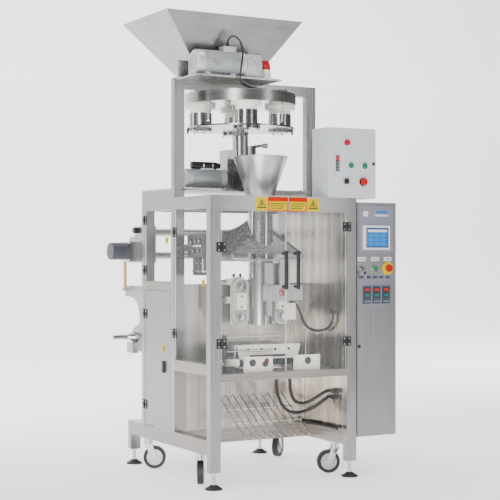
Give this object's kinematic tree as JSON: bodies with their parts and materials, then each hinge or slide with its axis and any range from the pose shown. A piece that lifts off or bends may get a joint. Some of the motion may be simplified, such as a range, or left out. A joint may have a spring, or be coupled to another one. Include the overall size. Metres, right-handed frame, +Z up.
{
  "type": "vertical form fill sealer",
  "caption": "Upright bag-making and filling machine on a steel frame with rotary cup filler, hopper, film forming collar, sealing jaws, guard doors and control cabinet.",
  "frame": {"origin": "floor level, under the middle of the machine's overall box", "axes": "+X to the operator's right, +Y from the front doors towards the film roll, +Z up"},
  "size_m": [1.2964, 1.241, 2.465],
  "materials": {
    "stainless_frame": "satin",
    "panel_steel": "brushed",
    "foot_black": "satin",
    "black_metal": "satin",
    "polished_steel": "polished",
    "sheet_steel": "brushed",
    "patterned_steel": "dull patterned",
    "aluminium_plate": "satin",
    "white_plastic": "matt",
    "motor_paint": "satin",
    "red_lens": "gloss",
    "panel_plate": "satin",
    "green_plastic": "gloss",
    "red_plastic": "gloss",
    "box_paint": "satin",
    "black_plastic": "satin",
    "clear_acrylic": "clear",
    "dark_motor": "satin",
    "tyre_rubber": "satin",
    "cord_rubber": "satin",
    "hose_yellow": "gloss"
  },
  "bodies": {
    "frame": {"frame_posts": "stainless_frame", "frame_beams": "stainless_frame", "inner_panels": "panel_steel", "levelling_feet": "foot_black", "door_hinges": "black_metal", "forming_tube": "sheet_steel", "funnel": "sheet_steel", "forming_collar": "patterned_steel", "former_bracket": "aluminium_plate", "jaw_guides": "polished_steel", "chute_rods": "polished_steel", "filler_base": "sheet_steel", "filler_motor": "motor_paint", "hopper": "sheet_steel", "hopper_stand": "sheet_steel", "leveller_motor": "motor_paint", "beacon_light": "red_lens", "cabinet_shell": "sheet_steel", "control_box_shell": "box_paint", "film_frame": "panel_steel", "unwind_motor": "dark_motor", "jaw_hose_left": "cord_rubber", "jaw_hose_right": "cord_rubber", "belt_cable": "cord_rubber", "motor_cable": "cord_rubber", "air_hose": "hose_yellow"},
    "front_left_door": {"front_left_door": "clear_acrylic", "front_left_handle": "black_plastic"},
    "front_right_door": {"front_right_door": "clear_acrylic", "front_right_handle": "black_plastic"},
    "side_front_door": {"side_front_door": "clear_acrylic"},
    "side_rear_door": {"side_rear_door": "clear_acrylic"},
    "steel_door": {"steel_door": "panel_steel"},
    "cabinet_door": {"cabinet_door": "sheet_steel", "operator_panel": "panel_plate"},
    "start_button": {"start_button": "green_plastic"},
    "emergency_stop": {"emergency_stop": "red_plastic"},
    "key_switch": {"key_switch": "polished_steel"},
    "control_box_door": {"control_box_door": "box_paint"},
    "box_start_button": {"box_start_button": "green_plastic"},
    "box_run_button": {"box_run_button": "green_plastic"},
    "box_stop_button": {"box_stop_button": "red_plastic"},
    "box_selector": {"box_selector": "black_plastic"},
    "turntable": {"feed_drum": "sheet_steel", "cup_collars": "white_plastic"},
    "volume_plate": {"measuring_cups": "polished_steel"},
    "left_belt_unit": {"left_belt_unit": "aluminium_plate"},
    "right_belt_unit": {"right_belt_unit": "aluminium_plate"},
    "vertical_sealer": {"vertical_sealer": "aluminium_plate"},
    "front_jaw": {"front_jaw": "sheet_steel"},
    "rear_jaw": {"rear_jaw": "sheet_steel"},
    "roll_shaft": {"roll_shaft": "polished_steel"},
    "front_left_caster_fork": {"front_left_caster_fork": "polished_steel"},
    "front_left_caster_wheel": {"front_left_caster_wheel": "tyre_rubber"},
    "front_right_caster_fork": {"front_right_caster_fork": "polished_steel"},
    "front_right_caster_wheel": {"front_right_caster_wheel": "tyre_rubber"},
    "rear_left_caster_fork": {"rear_left_caster_fork": "polished_steel"},
    "rear_left_caster_wheel": {"rear_left_caster_wheel": "tyre_rubber"},
    "rear_right_caster_fork": {"rear_right_caster_fork": "polished_steel"},
    "rear_right_caster_wheel": {"rear_right_caster_wheel": "tyre_rubber"}
  },
  "joints": [
    {"name": "front_left_door_hinge", "type": "hinge", "parent": "frame", "child": "front_left_door", "pos_m": [-0.44625, -0.5805, 1], "axis": [0, 0, -1], "range_deg": [0, 100]},
    {"name": "front_right_door_hinge", "type": "hinge", "parent": "frame", "child": "front_right_door", "pos_m": [0.31775, -0.5805, 1], "axis": [0, 0, 1], "range_deg": [0, 100]},
    {"name": "side_front_door_hinge", "type": "hinge", "parent": "frame", "child": "side_front_door", "pos_m": [-0.51425, -0.1635, 1], "axis": [0, 0, -1], "range_deg": [0, 100]},
    {"name": "side_rear_door_hinge", "type": "hinge", "parent": "frame", "child": "side_rear_door", "pos_m": [-0.51425, 0.2105, 1.24], "axis": [0, 0, -1], "range_deg": [0, 100]},
    {"name": "steel_door_hinge", "type": "hinge", "parent": "frame", "child": "steel_door", "pos_m": [-0.51425, 0.2105, 0.62], "axis": [0, 0, -1], "range_deg": [0, 100]},
    {"name": "cabinet_door_hinge", "type": "hinge", "parent": "frame", "child": "cabinet_door", "pos_m": [0.64425, -0.5555, 1], "axis": [0, 0, 1], "range_deg": [0, 110]},
    {"name": "control_box_door_hinge", "type": "hinge", "parent": "frame", "child": "control_box_door", "pos_m": [0.19825, -0.5555, 1.69], "axis": [0, 0, -1], "range_deg": [0, 110]},
    {"name": "start_button_press", "type": "slide", "parent": "cabinet_door", "child": "start_button", "axis": [0, 1, 0], "range_m": [0, 0.004], "stiffness_N_per_m": 400},
    {"name": "emergency_stop_press", "type": "slide", "parent": "cabinet_door", "child": "emergency_stop", "axis": [0, 1, 0], "range_m": [0, 0.004], "stiffness_N_per_m": 400},
    {"name": "box_start_button_press", "type": "slide", "parent": "control_box_door", "child": "box_start_button", "axis": [0, 1, 0], "range_m": [0, 0.004], "stiffness_N_per_m": 400},
    {"name": "box_run_button_press", "type": "slide", "parent": "control_box_door", "child": "box_run_button", "axis": [0, 1, 0], "range_m": [0, 0.004], "stiffness_N_per_m": 400},
    {"name": "box_stop_button_press", "type": "slide", "parent": "control_box_door", "child": "box_stop_button", "axis": [0, 1, 0], "range_m": [0, 0.004], "stiffness_N_per_m": 400},
    {"name": "key_turn", "type": "hinge", "parent": "cabinet_door", "child": "key_switch", "pos_m": [0.41275, -0.5825, 1.121], "axis": [0, 1, 0], "range_deg": [0, 90]},
    {"name": "selector_turn", "type": "hinge", "parent": "control_box_door", "child": "box_selector", "pos_m": [0.31175, -0.5825, 1.589], "axis": [0, 1, 0], "range_deg": [-45, 45]},
    {"name": "turntable_spin", "type": "hinge", "parent": "frame", "child": "turntable", "pos_m": [-0.06425, -0.0845, 2], "axis": [0, 0, 1], "continuous": true},
    {"name": "cup_volume", "type": "slide", "parent": "turntable", "child": "volume_plate", "axis": [0, 0, 1], "range_m": [-0.014, 0.014]},
    {"name": "left_belt_press", "type": "slide", "parent": "frame", "child": "left_belt_unit", "axis": [1, 0, 0], "range_m": [0, 0.014]},
    {"name": "right_belt_press", "type": "slide", "parent": "frame", "child": "right_belt_unit", "axis": [-1, 0, 0], "range_m": [0, 0.014]},
    {"name": "sealer_press", "type": "slide", "parent": "frame", "child": "vertical_sealer", "axis": [0, 1, 0], "range_m": [0, 0.009]},
    {"name": "front_jaw_close", "type": "slide", "parent": "frame", "child": "front_jaw", "axis": [0, 1, 0], "range_m": [0, 0.028]},
    {"name": "rear_jaw_close", "type": "slide", "parent": "frame", "child": "rear_jaw", "axis": [0, -1, 0], "range_m": [0, 0.028]},
    {"name": "roll_spin", "type": "hinge", "parent": "frame", "child": "roll_shaft", "pos_m": [-0.20825, 0.4755, 0.722], "axis": [1, 0, 0], "continuous": true},
    {"name": "front_left_swivel", "type": "hinge", "parent": "frame", "child": "front_left_caster_fork", "pos_m": [-0.47825, -0.4045, 0.15], "axis": [0, 0, 1], "continuous": true},
    {"name": "front_left_roll", "type": "hinge", "parent": "front_left_caster_fork", "child": "front_left_caster_wheel", "pos_m": [-0.46075, -0.37419, 0.0625], "axis": [0.866, -0.5, 0], "continuous": true},
    {"name": "front_right_swivel", "type": "hinge", "parent": "frame", "child": "front_right_caster_fork", "pos_m": [0.34975, -0.4045, 0.15], "axis": [0, 0, 1], "continuous": true},
    {"name": "front_right_roll", "type": "hinge", "parent": "front_right_caster_fork", "child": "front_right_caster_wheel", "pos_m": [0.31686, -0.39253, 0.0625], "axis": [0.342, 0.9397, 0], "continuous": true},
    {"name": "rear_left_swivel", "type": "hinge", "parent": "frame", "child": "rear_left_caster_fork", "pos_m": [-0.47825, 0.2295, 0.15], "axis": [0, 0, 1], "continuous": true},
    {"name": "rear_left_roll", "type": "hinge", "parent": "rear_left_caster_fork", "child": "rear_left_caster_wheel", "pos_m": [-0.44735, 0.21307, 0.0625], "axis": [-0.4695, -0.8829, 0], "continuous": true},
    {"name": "rear_right_swivel", "type": "hinge", "parent": "frame", "child": "rear_right_caster_fork", "pos_m": [0.34975, 0.2295, 0.15], "axis": [0, 0, 1], "continuous": true},
    {"name": "rear_right_roll", "type": "hinge", "parent": "rear_right_caster_fork", "child": "rear_right_caster_wheel", "pos_m": [0.37656, 0.252, 0.0625], "axis": [0.6428, -0.766, 0], "continuous": true}
  ],
  "couplings": [
    {"joint": "rear_jaw_close", "follows": "front_jaw_close", "ratio": 1},
    {"joint": "right_belt_press", "follows": "left_belt_press", "ratio": 1}
  ]
}
